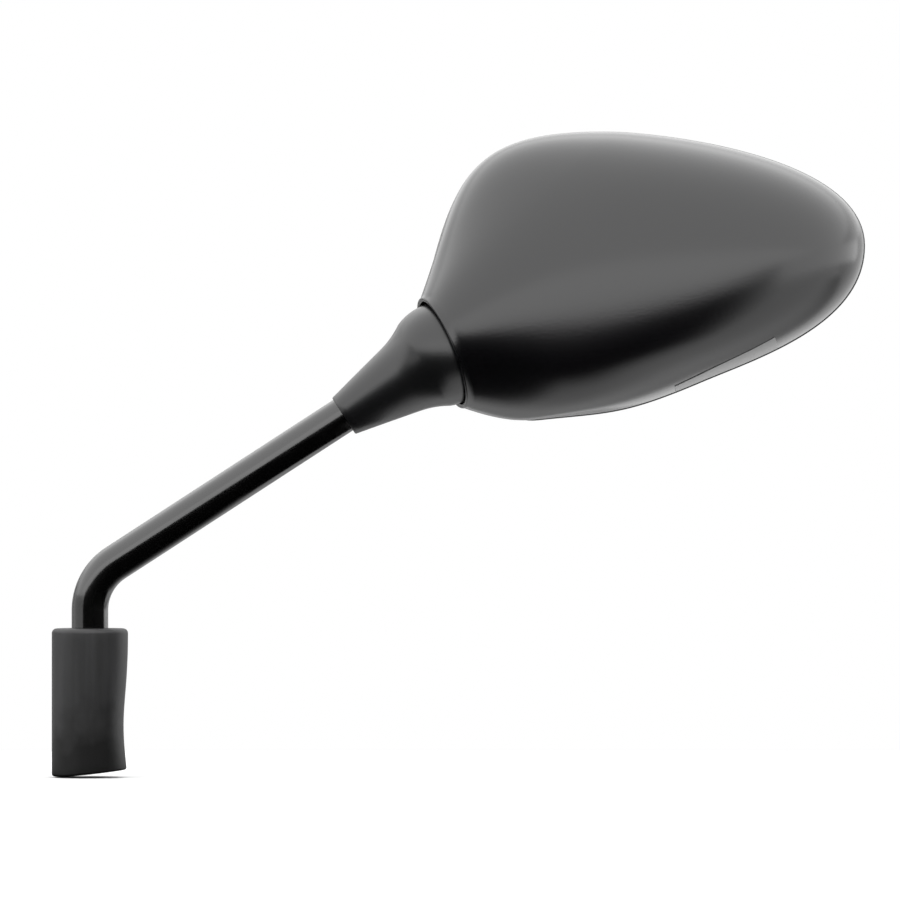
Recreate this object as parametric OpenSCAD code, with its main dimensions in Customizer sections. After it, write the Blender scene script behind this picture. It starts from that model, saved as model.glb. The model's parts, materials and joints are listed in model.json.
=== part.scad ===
// Motorcycle mirror, left-hand: a bent rod stem with a threaded stud, a rubber base sleeve, a ball joint
// inside a neck boot, and a moulded head that holds a convex glass.
// +X runs from the stem towards the head's tip, +Y points at the rider, who sees the glass, and +Z is up.
// The origin is on the stud's axis, where the lock nut's washer meets the bike.

/* [Stem] */
// Diameter of the stem's rod
rod_d = 12; // [11:0.5:12.5]
// Height of the bend's corner above the washer's underside
bend_height = 37; // [35:1:45]
// Radius of the bend at the rod's centreline
bend_r = 18.5; // [14:0.5:22]
// Angle of the arm above horizontal
arm_angle = 33; // [25:1:40]
// Length of the arm from the bend's corner to the ball's centre
arm_length = 137; // [120:1:160]
// Diameter of the neck behind the ball
neck_d = 6.4; // [5.5:0.1:6.6]
// Length of the neck from the rod's end to the ball's centre
neck_length = 18; // [17:0.5:22]
// Diameter of the spigot that the ball turns on
spigot_d = 4; // [3.5:0.1:4.4]

/* [Stud and lock nut] */
// Thread diameter of the stud
stud_d = 10; // [9:0.5:10]
// Length of the stud below the washer
stud_length = 25; // [20:1:26]
// Height of the rod's shoulder above the washer's underside
shoulder_height = 9; // [8.5:0.5:11]
// Width of the lock nut across its flats
nut_flats = 17; // [15:0.5:17.5]
// Height of the lock nut
nut_height = 5.5; // [5:0.5:6]
// Diameter of the washer under the nut
washer_d = 20; // [18:0.5:20.5]
// Thickness of the washer
washer_thickness = 1.5; // [1:0.25:2]

/* [Base sleeve] */
// Outer diameter of the rubber sleeve
sleeve_d = 25; // [24.5:0.5:28]
// Height of the sleeve's top above the washer's underside
sleeve_top = 21; // [18:0.5:22]
// Depth of the sleeve's bottom below the washer's underside
sleeve_bottom = 27.5; // [26.5:0.5:32]
// Wall of the sleeve around the nut
sleeve_wall = 2; // [1.5:0.1:2.1]
// Length of the collar that grips the rod
sleeve_collar = 10; // [7:0.5:11]
// Depth of the waist in the sleeve's outer side
sleeve_waist = 0.6; // [0:0.1:0.8]
// Slant of the sleeve's lower end, which rises towards the head
sleeve_slant = 5; // [0:0.5:7]

/* [Neck boot] */
// Outer radius of the boot's ball-shaped end
boot_r = 17.4; // [17:0.1:17.8]
// Wall of the boot
boot_wall = 1.4; // [1:0.1:1.6]
// Half-angle of the boot's cone
boot_taper = 13; // [11:0.5:14]
// Distance of the boot's small end from the ball's centre
boot_length = 38; // [34:1:44]
// Wall of the boot's small end round the rod
boot_mouth_wall = 0.9; // [0.7:0.1:1.2]
// Angle of the boot's inner edge round the ball, from the arm
boot_reach = 126; // [124:1:130]

/* [Ball joint] */
// Diameter of the ball
ball_d = 14; // [13.5:0.25:14.5]
// Thickness of the seat between ball and socket
seat_wall = 0.95; // [0.8:0.05:1.05]
// Radius of the circle that the clamp screws stand on
clamp_circle_r = 10.1; // [10:0.1:10.2]
// Thickness of the clamp plate
clamp_thickness = 4; // [3.6:0.1:4.2]
// Number of clamp screws
clamp_screw_count = 3; // [3:1:4]
// Shank diameter of the clamp screws
clamp_screw_d = 2.2; // [2:0.1:2.4]
// Height of the springs under the clamp screws' heads
spring_height = 3.4; // [3:0.1:3.6]
// Diameter of the spring wire
spring_wire_d = 0.5; // [0.4:0.05:0.6]
// Turns of each spring
spring_turns = 4; // [3:1:5]
// Diameter of the socket bracket's stalk
stalk_d = 16; // [14:0.5:17]

/* [Head housing] */
// Distance of the rim in front of the ball's centre
rim_y = 26; // [25.5:0.5:29]
// Wall of the housing
housing_wall = 2.5; // [2:0.1:2.8]
// Wall of the housing round the glass recess
recess_wall = 2; // [1.8:0.1:2.2]
// Gap between the neck opening's lip and the boot
lip_gap = 0.35; // [0.3:0.05:0.8]
// Width of the lip round the neck opening
lip_width = 1.6; // [1.2:0.1:2]
// Height of the bead on the lip
lip_bead = 0.9; // [0.5:0.1:1.2]

/* [Glass and carrier] */
// Radius of the convex glass
glass_curve_r = 1200; // [1000:50:1400]
// Thickness of the glass
glass_thickness = 2; // [1.6:0.1:2]
// Thickness of the foam pad at its thinnest
foam_thickness = 1; // [0.8:0.1:1]
// Thickness of the carrier plate
carrier_thickness = 2; // [1.6:0.1:2]
// Width of the bezel's face
bezel_width = 4; // [3.75:0.25:5]
// How far the bezel stands in front of the rim
bezel_proud = 1.4; // [1:0.1:2]

/* [Hidden] */
$fn = 64;

// Clearances between pieces
running_gap = 0.04;
seat_gap = 0.05;
fit_gap = 0.1;
part_gap = 0.3;

// The stem
rod_r = rod_d / 2;
ball_r = ball_d / 2;
neck_r = neck_d / 2;
spigot_r = spigot_d / 2;
bend_turn = 90 - arm_angle;
bend_tangent = bend_r * tan(bend_turn / 2);
// The straight lengths run a little way into the bend, which is a hair thicker
bend_lap = 0.5;
bend_swell = 0.02;
ball_flat_back = 6.1;
ball_flat_front = 4.8;
ball_washer_r = 3.5;
ball_washer_thickness = 0.5;
peen_r = 2.8;
peen_height = 0.8;

// The stud and its nut
stud_r = stud_d / 2;
thread_flank = 0.4;
stud_chamfer = 1;
nut_bottom = washer_thickness;
nut_top = washer_thickness + nut_height;

// The ball joint, measured along the arm from the ball's centre
seat_inner_r = ball_r + running_gap;
seat_outer_r = seat_inner_r + seat_wall;
socket_r = seat_outer_r + seat_gap;
joint_plane = 0.4;
clamp_screw_r = clamp_screw_d / 2;
clamp_rim_r = clamp_circle_r + 2.2;
clamp_head_r = 2;
spring_r = clamp_screw_r + fit_gap + spring_wire_d / 2;
clamp_head_height = 1.4;
clamp_back = joint_plane + clamp_thickness;
clamp_head_plane = clamp_back + spring_height;
hub_depth = 6;
stalk_r = stalk_d / 2;
stalk_end = 26;

// The head's outline seen from the front, measured from the ball's centre:
// place, heading, handle before and handle after
rim_anchors = [
    [[140, 35.5], 90, 26, 30],
    [[55.5, 73], 179.5, 16, 40],
    [[-2, 31.5], 255, 32, 24],
    [[32, -22], 6, 20, 24],
    [[86, -9.5], 23, 28, 20.5]
];
rim_steps = 12;
rim_count = len(rim_anchors) * rim_steps;

// The neck opening: its axis into the head, and the two directions across it
opening_axis = [0.9066, 0.225, 0.3571];
opening_back = [0.209, -0.9743, 0.0834];
opening_up = cross(opening_back, opening_axis);
lip_r = boot_r + lip_gap;
lip_outer_r = lip_r + lip_width;
fan_centre = [28, 10];
fan_turn = 11;
skin_steps = 14;

// How far the skin sweeps straight back from the rim, and how far it follows the neck's flare: the least,
// the swell on the side away from the neck, and the difference between top and bottom
sweep_back_least = 4;
sweep_back_swell = 54;
sweep_back_tilt = 9;
sweep_neck_least = 8;
sweep_neck_swell = 12;
sweep_neck_tilt = 5;
step_lap = 0.9;

// The bracket plate's screws and the carrier's screws, measured from the ball's centre
bracket_points = [[30, 1], [32, 32], [68, 8], [66, 38]];
carrier_points = [[40, 17], [54, 32]];
bracket_thickness = 4;
boss_r = 3.4;
boss_core_r = 1.9;
screw_r = 1.4;
screw_head_r = 2.9;
screw_head_height = 1.8;
screw_length = 12;

// The stack behind the bezel, from the glass back to the recess's step: the glass's nearest edge lies
// just under the bezel and its farthest edge drops away by the curve
glass_centre = [65, 27];
glass_near_r = 36;
glass_far_r = 76;
glass_apex = rim_y - fit_gap + curve_drop(glass_near_r);
carrier_front = glass_apex - curve_drop(glass_far_r) - glass_thickness - foam_thickness;
carrier_back = carrier_front - carrier_thickness;
recess_depth = rim_y - carrier_back + fit_gap / 2;
carrier_inset = recess_wall + part_gap;
glass_inset = recess_wall + 1.6;
foam_inset = glass_inset + 2;
skirt_wall = 1.2;
cut_reach = 12;

// Ribs on the bracket plate and on the carrier's back
web_width = 1.6;
web_height = 4;
web_end_gap = 5;
rib_inset = 11;
rib_width = 1.4;
rib_height = 2;

function curve_drop(r) = r * r / (2 * glass_curve_r);
function unit3(v) = v / norm(v);
function mix(a, b, t) = a + (b - a) * t;
function heading(angle) = [cos(angle), sin(angle)];
function bezier(a, b, c, d, t) =
    pow(1 - t, 3) * a + 3 * t * pow(1 - t, 2) * b + 3 * t * t * (1 - t) * c + pow(t, 3) * d;
function arc(r, from, to, steps) =
    [for (k = [0 : steps]) r * heading(mix(from, to, k / steps))];

// A point on the rim's outline, with u running one unit from anchor to anchor
function rim_at(u) =
    let (
        count = len(rim_anchors),
        w = u - count * floor(u / count),
        i = floor(w),
        a = rim_anchors[i],
        b = rim_anchors[(i + 1) % count]
    )
    bezier(a[0], a[0] + a[3] * heading(a[1]), b[0] - b[2] * heading(b[1]), b[0], w - i);
function rim_outward(u) =
    let (d = rim_at(u + 0.01) - rim_at(u - 0.01))
    [d[1], -d[0]] / norm(d);
function rim_outline(inset) =
    [for (k = [0 : rim_count - 1]) let (u = k / rim_steps) rim_at(u) - inset * rim_outward(u)];

// The housing's skin: each rim point sweeps back and then round to the neck opening in one smooth curve
function fan_angle(u) =
    let (p = rim_at(u) - fan_centre)
    atan2(p[1], p[0]) - fan_turn;
function opening_radial(a) = cos(a) * opening_back + sin(a) * opening_up;
function flare(a) = 42 - 6 * cos(a) + 4 * sin(a);
function sweep_back(a) =
    sweep_back_least + sweep_back_swell * pow(cos(a / 2), 2) - sweep_back_tilt * sin(a);
function sweep_neck(a) =
    sweep_neck_least + sweep_neck_swell * pow(cos(a / 2), 2) - sweep_neck_tilt * sin(a);
function skin_at(u, v) =
    let (
        a = fan_angle(u),
        p = rim_at(u),
        start = [p[0], rim_y, p[1]],
        outward = opening_radial(a),
        end = lip_outer_r * outward,
        flow = cos(flare(a)) * opening_axis + sin(flare(a)) * outward
    )
    bezier(start, start - [0, sweep_back(a), 0], end + sweep_neck(a) * flow, end, v);
function skin_normal(u, v) =
    let (
        e = 0.01,
        along = skin_at(u + e, v) - skin_at(u - e, v),
        across = skin_at(u, min(1, v + e)) - skin_at(u, max(0, v - e))
    )
    unit3(cross(along, across));
function inner_at(u, v) =
    skin_at(u, v) - mix(housing_wall, 0.55 * lip_width, pow(v, 4)) * skin_normal(u, v);
// How far along its sweep the skin has dropped by a depth, found by halving
function sweep_at_depth(u, depth, low = 0, high = 0.9, left = 10) =
    let (middle = (low + high) / 2)
    left == 0 ? middle
        : skin_at(u, middle)[1] > rim_y - depth
            ? sweep_at_depth(u, depth, middle, high, left - 1)
            : sweep_at_depth(u, depth, low, middle, left - 1);

function rim_u(k) = k / rim_steps;
function flat_ring(inset, y) = [for (p = rim_outline(inset)) [p[0], y, p[1]]];
function lip_ring(r, along) =
    [for (k = [0 : rim_count - 1]) r * opening_radial(fan_angle(rim_u(k))) + along * opening_axis];

// Where a line along Y through [x, z] meets the skin: the height of the nearest skin facet's plane
skin_samples = [
    for (k = [0 : rim_count - 1], j = [4 : skin_steps])
        let (u = rim_u(k), v = j / skin_steps, n = skin_normal(u, v))
        if (n[1] < -0.3) [skin_at(u, v), n]
];
function nearest(p, i = 0, best = 0) =
    i >= len(skin_samples) ? skin_samples[best]
        : nearest(p, i + 1, reach(p, i) < reach(p, best) ? i : best);
function reach(p, i) =
    let (q = skin_samples[i][0])
    norm([q[0] - p[0], q[2] - p[1]]);
function skin_y(p) =
    let (s = nearest(p), q = s[0], n = s[1])
    q[1] - ((p[0] - q[0]) * n[0] + (p[1] - q[2]) * n[2]) / n[1];

// Moves to the ball's centre, with the frame's axes
module at_ball() {
    translate([arm_length * cos(arm_angle), 0, bend_height + arm_length * sin(arm_angle)])
        children();
}

// Turns Z to run along the arm from the ball's centre into the head
module along_arm() {
    at_ball()
        rotate([0, bend_turn, 0])
            children();
}

// Stands a shape drawn in front view on the plane at y, growing towards the rider
module facing_rider(y, height) {
    translate([0, y + height, 0])
        rotate([90, 0, 0])
            linear_extrude(height)
                children();
}

module rod_between(bottom, top, r) {
    translate([0, 0, bottom])
        cylinder(h = top - bottom, r = r);
}

// A closed tube of rings, each ring as long as the others
module ring_shell(rings) {
    ring_count = len(rings);
    n = len(rings[0]);
    polyhedron(
        points = [for (ring = rings, p = ring) p],
        faces = [
            for (i = [0 : ring_count - 1], k = [0 : n - 1])
                let (
                    j = (i + 1) % ring_count,
                    m = (k + 1) % n,
                    a = i * n + k,
                    b = i * n + m,
                    c = j * n + m,
                    d = j * n + k
                )
                each [[a, c, b], [a, d, c]]
        ],
        convexity = 8
    );
}

// The stem: threaded stud, rod, bend, arm, neck and the spigot with its peened end
module stem() {
    color("#1b1b1d") {
        rotate_extrude()
            polygon([
                [0, -stud_length],
                [stud_r - stud_chamfer, -stud_length],
                [stud_r, -stud_length + stud_chamfer],
                [stud_r, 0],
                [stud_r - thread_flank, 0],
                [stud_r - thread_flank, nut_top],
                [stud_r - 0.8, nut_top],
                [stud_r - 0.8, shoulder_height],
                [rod_r - 0.6, shoulder_height],
                [rod_r, shoulder_height + 0.6],
                [rod_r, bend_height - bend_tangent + bend_lap],
                [0, bend_height - bend_tangent + bend_lap]
            ]);
        translate([bend_r, 0, bend_height - bend_tangent])
            rotate([90, 0, 0])
                rotate([0, 0, 180 - bend_turn])
                    rotate_extrude(angle = bend_turn)
                        translate([bend_r, 0])
                            circle(r = rod_r + bend_swell);
        along_arm()
            rotate_extrude()
                polygon([
                    [0, bend_tangent - arm_length - bend_lap],
                    [rod_r, bend_tangent - arm_length - bend_lap],
                    [rod_r, -neck_length - 1],
                    [rod_r - 1, -neck_length],
                    [neck_r, -neck_length],
                    [neck_r, -ball_flat_back],
                    [spigot_r, -ball_flat_back],
                    [spigot_r, ball_flat_front + ball_washer_thickness + 2 * running_gap],
                    [peen_r, ball_flat_front + ball_washer_thickness + 2 * running_gap],
                    [peen_r - 0.6, ball_flat_front + ball_washer_thickness + peen_height],
                    [0, ball_flat_front + ball_washer_thickness + peen_height]
                ]);
    }
}

module nut_washer() {
    color("#8d8f92")
        difference() {
            rod_between(0, washer_thickness, washer_d / 2);
            rod_between(-1, washer_thickness + 1, stud_r + 0.25);
        }
}

// The hexagon nut, with the chamfer that rounds its corners at both ends
module lock_nut() {
    color("#3a3b3d")
        difference() {
            intersection() {
                translate([0, 0, nut_bottom])
                    cylinder(h = nut_height, d = nut_flats / cos(30), $fn = 6);
                rotate_extrude()
                    polygon([
                        [0, nut_bottom],
                        [nut_flats / 2 - 0.2, nut_bottom],
                        [nut_flats / 2 + 1.4, nut_bottom + 0.9],
                        [nut_flats / 2 + 1.4, nut_top - 0.9],
                        [nut_flats / 2 - 0.2, nut_top],
                        [0, nut_top]
                    ]);
            }
            rod_between(nut_bottom - 1, nut_top + 1, stud_r - thread_flank + 0.05);
        }
}

// The rubber sleeve: a collar that grips the rod and a skirt, cut on a slant, that hides the nut and the stud
module base_sleeve() {
    outer_r = sleeve_d / 2;
    inner_r = outer_r - sleeve_wall;
    collar_bottom = sleeve_top - sleeve_collar;
    color("#2c2c2e")
        difference() {
            rotate_extrude()
                polygon(concat(
                    [[rod_r + fit_gap, collar_bottom], [rod_r + fit_gap, sleeve_top - 0.8], [rod_r + 0.8, sleeve_top]],
                    [for (p = arc(1.4, 90, 0, 5)) [outer_r - 1.4, sleeve_top - 1.4] + p],
                    [for (k = [1 : 9])
                        [outer_r - sleeve_waist * pow(sin(18 * k), 2),
                            mix(sleeve_top - 1.4, -sleeve_bottom + 0.8, k / 10)]],
                    [for (p = arc(0.8, 0, -90, 4)) [outer_r - 0.8, -sleeve_bottom + 0.8] + p],
                    [[inner_r + 0.4, -sleeve_bottom], [inner_r, -sleeve_bottom + 0.4]],
                    [[inner_r, collar_bottom - 2], [inner_r - 2, collar_bottom]]
                ));
            translate([-outer_r, 0, -sleeve_bottom])
                rotate([0, -sleeve_slant, 0])
                    translate([-sleeve_d, -sleeve_d, -sleeve_d])
                        cube([3 * sleeve_d, 2 * sleeve_d, sleeve_d]);
        }
}

// The neck boot: a cone that grips the arm and swells into a ball-shaped shell, over which the head turns
module neck_boot() {
    mouth_r = rod_r + boot_mouth_wall;
    bore_r = rod_r + fit_gap / 2;
    inner_r = boot_r - boot_wall;
    // The cone's side passes the ball's centre at this distance
    side = (mouth_r + boot_length * tan(boot_taper)) * cos(boot_taper);
    join = acos(side / boot_r);
    inner_join = acos((side - boot_wall) / inner_r);
    grip = 7;
    color("#242426")
        along_arm()
            rotate_extrude()
                polygon(concat(
                    [[bore_r, -boot_length], [mouth_r - 0.3, -boot_length], [mouth_r, -boot_length + 0.3]],
                    arc(boot_r, -join - boot_taper, boot_reach - 90, 24),
                    arc(inner_r, boot_reach - 90, -inner_join - boot_taper, 24),
                    [[bore_r, -boot_length + grip]]
                ));
}

module ball() {
    color("#9a9ca0")
        along_arm()
            difference() {
                intersection() {
                    sphere(r = ball_r);
                    rod_between(-ball_flat_back + running_gap, ball_flat_front, ball_r + 1);
                }
                rod_between(-ball_r, ball_r, spigot_r + running_gap);
            }
}

module ball_washer() {
    color("#b4b6b8")
        along_arm()
            difference() {
                rod_between(ball_flat_front + running_gap / 2,
                    ball_flat_front + running_gap / 2 + ball_washer_thickness, ball_washer_r);
                rod_between(0, ball_r, spigot_r + 0.15);
            }
}

// The plastic seat: a band of a spherical shell round the ball
module ball_seat() {
    color("#d9d6cc")
        along_arm()
            difference() {
                intersection() {
                    sphere(r = seat_outer_r);
                    rod_between(-0.5 * seat_outer_r, 0.8 * seat_outer_r, seat_outer_r + 1);
                }
                sphere(r = seat_inner_r);
            }
}

module clamp_pattern() {
    for (k = [0 : clamp_screw_count - 1])
        rotate([0, 0, 90 + k * 360 / clamp_screw_count])
            translate([clamp_circle_r, 0, 0])
                children();
}

// The socket half behind the ball, its stalk, and the plate that stands on the housing's bosses
module socket_bracket() {
    color("#4a4b4e")
        difference() {
            union() {
                along_arm()
                    rotate_extrude()
                        polygon([
                            [0, joint_plane],
                            [clamp_rim_r, joint_plane],
                            [clamp_rim_r, hub_depth - 1],
                            [clamp_rim_r - 1, hub_depth],
                            [stalk_r, hub_depth + 5],
                            [stalk_r, stalk_end - 1],
                            [stalk_r - 1, stalk_end],
                            [0, stalk_end]
                        ]);
                at_ball() {
                    facing_rider(-bracket_thickness / 2, bracket_thickness)
                        bracket_outline();
                    facing_rider(0, bracket_thickness / 2 + web_height)
                        bracket_webs();
                    for (p = carrier_points)
                        facing_rider(0, carrier_back - fit_gap / 2)
                            translate(p)
                                circle(r = boss_r);
                }
            }
            along_arm() {
                sphere(r = socket_r);
                clamp_pattern()
                    rod_between(-1, hub_depth - 1.5, clamp_screw_r + fit_gap / 2);
            }
            at_ball() {
                for (p = bracket_points)
                    facing_rider(-bracket_thickness, 2 * bracket_thickness)
                        translate(p)
                            circle(r = screw_r + fit_gap / 2);
                for (p = carrier_points)
                    facing_rider(carrier_back - screw_length, screw_length + 1)
                        translate(p)
                            circle(r = screw_r + fit_gap / 2);
            }
        }
}

// A round pad at each screw, joined by bars to the stalk and along both edges
module bracket_outline() {
    root = (stalk_end - 4) * heading(arm_angle);
    for (p = bracket_points)
        translate(p)
            circle(r = boss_r + 1.4);
    bar(root, bracket_points[0], 6);
    bar(root, bracket_points[1], 6);
    bar(bracket_points[0], bracket_points[2], 6);
    bar(bracket_points[1], bracket_points[3], 6);
    bar(bracket_points[2], bracket_points[3], 6);
    bar(root, bracket_points[3], 9);
    bar(carrier_points[0], bracket_points[0], 5);
}

// The webs that stiffen the bracket's bars, short of the screws at both ends
module bracket_webs() {
    web(bracket_points[0], bracket_points[2]);
    web(bracket_points[1], bracket_points[3]);
    web(bracket_points[2], bracket_points[3]);
}

module web(from, to) {
    along = unit3(to - from) * web_end_gap;
    bar(from + along, to - along, web_width);
}

module bar(from, to, width) {
    reach = to - from;
    translate(from)
        rotate(atan2(reach[1], reach[0]))
            translate([0, -width / 2])
                square([norm(reach), width]);
}

module clamp_plate() {
    color("#5b5c5f")
        along_arm()
            difference() {
                rotate_extrude()
                    polygon([
                        [0, -clamp_back],
                        [clamp_rim_r - 0.8, -clamp_back],
                        [clamp_rim_r, -clamp_back + 0.8],
                        [clamp_rim_r, -joint_plane],
                        [0, -joint_plane]
                    ]);
                sphere(r = socket_r);
                clamp_pattern()
                    rod_between(-clamp_back - 1, 1, clamp_screw_r + fit_gap);
            }
}

module clamp_screws() {
    color("#a8aaad")
        along_arm()
            clamp_pattern()
                rotate_extrude($fn = 32)
                    polygon([
                        [0, -clamp_head_plane - clamp_head_height],
                        [clamp_head_r - 0.5, -clamp_head_plane - clamp_head_height],
                        [clamp_head_r, -clamp_head_plane - clamp_head_height + 0.5],
                        [clamp_head_r, -clamp_head_plane],
                        [clamp_screw_r, -clamp_head_plane],
                        [clamp_screw_r, hub_depth - 2.5],
                        [clamp_screw_r - 0.4, hub_depth - 2],
                        [0, hub_depth - 2]
                    ]);
}

// One closed coil: rings of the wire along a helix, with the ends laid flat
module coil_spring(r, wire_r, height, turns) {
    steps = 16;
    sides = 6;
    last = steps * turns;
    function coil_z(k) = mix(wire_r, height - wire_r, k / last);
    rings = [
        for (k = [0 : last])
            let (a = 360 * k / steps)
            [for (j = [0 : sides - 1])
                let (b = 360 * j / sides, w = r + wire_r * cos(b))
                [w * cos(a), w * sin(a), coil_z(k) + wire_r * sin(b)]]
    ];
    polyhedron(
        points = [for (ring = rings, p = ring) p],
        faces = concat(
            [[for (j = [0 : sides - 1]) j]],
            [for (k = [0 : last - 1], j = [0 : sides - 1])
                let (m = (j + 1) % sides)
                [k * sides + j, (k + 1) * sides + j, (k + 1) * sides + m, k * sides + m]],
            [[for (j = [sides - 1 : -1 : 0]) last * sides + j]]
        ),
        convexity = 8
    );
}

module clamp_springs() {
    color("#c3c5c7")
        along_arm()
            clamp_pattern()
                translate([0, 0, -clamp_head_plane + fit_gap / 2])
                    coil_spring(spring_r, spring_wire_d / 2, spring_height - fit_gap, spring_turns);
}

// The moulded head: one skin from the rim to the neck opening, with the wall inside it and four bosses
module housing() {
    outer = [for (j = [0 : skin_steps]) [for (k = [0 : rim_count - 1]) skin_at(rim_u(k), j / skin_steps)]];
    inner = [
        for (j = [0 : skin_steps - 2])
            [for (k = [0 : rim_count - 1])
                let (u = rim_u(k))
                inner_at(u, mix(sweep_at_depth(u, recess_depth + step_lap), 0.985, 1 - j / (skin_steps - 2)))]
    ];
    color("#2f2f31")
        at_ball() {
            difference() {
                union() {
                    ring_shell(concat(
                        outer,
                        [
                            lip_ring(lip_outer_r - 0.1, -0.7 * lip_bead),
                            lip_ring(lip_outer_r - 0.5, -lip_bead),
                            lip_ring(lip_r + 0.4, -lip_bead),
                            lip_ring(lip_r, 0.4 - lip_bead),
                            lip_ring(lip_r, 0.6)
                        ],
                        inner,
                        [
                            flat_ring(recess_wall, rim_y - recess_depth),
                            flat_ring(recess_wall, rim_y - 0.3),
                            flat_ring(recess_wall - 0.3, rim_y)
                        ]
                    ));
                    for (p = bracket_points) {
                        base = skin_y(p) + 0.5 * housing_wall;
                        facing_rider(base + 0.9, -bracket_thickness / 2 - base - 0.9)
                            translate(p)
                                circle(r = boss_r);
                        facing_rider(base, 3)
                            translate(p)
                                circle(r = boss_core_r);
                    }
                }
                for (p = bracket_points)
                    facing_rider(bracket_thickness / 2 - screw_length - 1, screw_length)
                        translate(p)
                            circle(r = screw_r + fit_gap / 2);
            }
        }
}

// A pan-head screw whose head bears on the plane at y, driven from the rider's side
module rider_screw(p, y) {
    translate([p[0], y, p[1]])
        rotate([90, 0, 0])
            rotate_extrude($fn = 32)
                polygon([
                    [0, -screw_head_height],
                    [screw_head_r - 0.9, -screw_head_height],
                    [screw_head_r, -screw_head_height + 0.9],
                    [screw_head_r, 0],
                    [screw_r, 0],
                    [screw_r, screw_length - 2],
                    [0.4, screw_length - 0.8],
                    [0, screw_length - 0.8]
                ]);
}

module bracket_screws() {
    color("#8f9194")
        at_ball()
            for (p = bracket_points)
                rider_screw(p, bracket_thickness / 2);
}

// The flat carrier that lies on the recess's step, with a stiffening rib round its back
module carrier_plate() {
    color("#37383a")
        at_ball()
            difference() {
                union() {
                    facing_rider(carrier_back, carrier_thickness)
                        polygon(rim_outline(carrier_inset));
                    facing_rider(carrier_back - rib_height, rib_height + carrier_thickness / 2)
                        difference() {
                            polygon(rim_outline(rib_inset));
                            polygon(rim_outline(rib_inset + rib_width));
                        }
                }
                for (p = carrier_points)
                    translate([p[0], carrier_front, p[1]])
                        rotate([90, 0, 0])
                            translate([0, 0, -1])
                                cylinder(h = carrier_thickness + 2, r = screw_r + fit_gap);
                for (p = carrier_points)
                    translate([p[0], carrier_front, p[1]])
                        rotate([90, 0, 0])
                            translate([0, 0, -0.01])
                                cylinder(h = screw_head_r - screw_r + fit_gap + 0.01, r1 = screw_head_r + fit_gap, r2 = screw_r);
            }
}

module carrier_screws() {
    color("#8f9194")
        at_ball()
            for (p = carrier_points)
                translate([p[0], carrier_front - fit_gap / 2, p[1]])
                    rotate([90, 0, 0])
                        rotate_extrude($fn = 32)
                            polygon([
                                [0, 0],
                                [screw_head_r - 0.1, 0],
                                [screw_r, screw_head_r - screw_r - 0.1],
                                [screw_r, screw_length - 2],
                                [0.4, screw_length - 1],
                                [0, screw_length - 1]
                            ]);
}

// A cap of the glass's curve: solid behind the curved face, back to the plane at y
module domed_blank(apex, y) {
    translate([glass_centre[0], 0, glass_centre[1]])
        rotate([-90, 0, 0])
            rotate_extrude($fn = 96)
                polygon(concat(
                    [[0, y]],
                    [[glass_far_r + 8, y]],
                    [for (k = [8 : -1 : 0])
                        let (r = (glass_far_r + 8) * k / 8)
                        [r, apex - curve_drop(r)]]
                ));
}

module foam_pad() {
    color("#1f1f20")
        at_ball()
            intersection() {
                domed_blank(glass_apex - glass_thickness, carrier_front);
                facing_rider(carrier_front - 1, cut_reach)
                    polygon(rim_outline(foam_inset));
            }
}

module glass() {
    color("#c9d6dc")
        at_ball()
            intersection() {
                difference() {
                    domed_blank(glass_apex, carrier_front - 2);
                    domed_blank(glass_apex - glass_thickness, carrier_front - 4);
                }
                facing_rider(carrier_front - 1, cut_reach)
                    polygon(rim_outline(glass_inset));
            }
}

// The bezel: a face over the rim and the glass's edge, and a skirt pressed into the recess
module bezel() {
    color("#29292b")
        at_ball()
            difference() {
                union() {
                    facing_rider(rim_y + fit_gap / 2, bezel_proud - fit_gap / 2)
                        polygon(rim_outline(0.3));
                    facing_rider(carrier_front + 0.3, rim_y - carrier_front)
                        polygon(rim_outline(recess_wall + fit_gap));
                }
                facing_rider(carrier_front - 1, rim_y - carrier_front + 1 + fit_gap / 2)
                    polygon(rim_outline(recess_wall + fit_gap + skirt_wall));
                facing_rider(rim_y - 1, cut_reach)
                    polygon(rim_outline(0.3 + bezel_width));
            }
}

stem();
nut_washer();
lock_nut();
base_sleeve();
neck_boot();
ball();
ball_washer();
ball_seat();
socket_bracket();
clamp_plate();
clamp_screws();
clamp_springs();
housing();
bracket_screws();
carrier_plate();
carrier_screws();
foam_pad();
glass();
bezel();
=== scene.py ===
import json
import math

import bmesh
import bpy
from mathutils import Matrix, Vector
from mathutils.bvhtree import BVHTree


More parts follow.
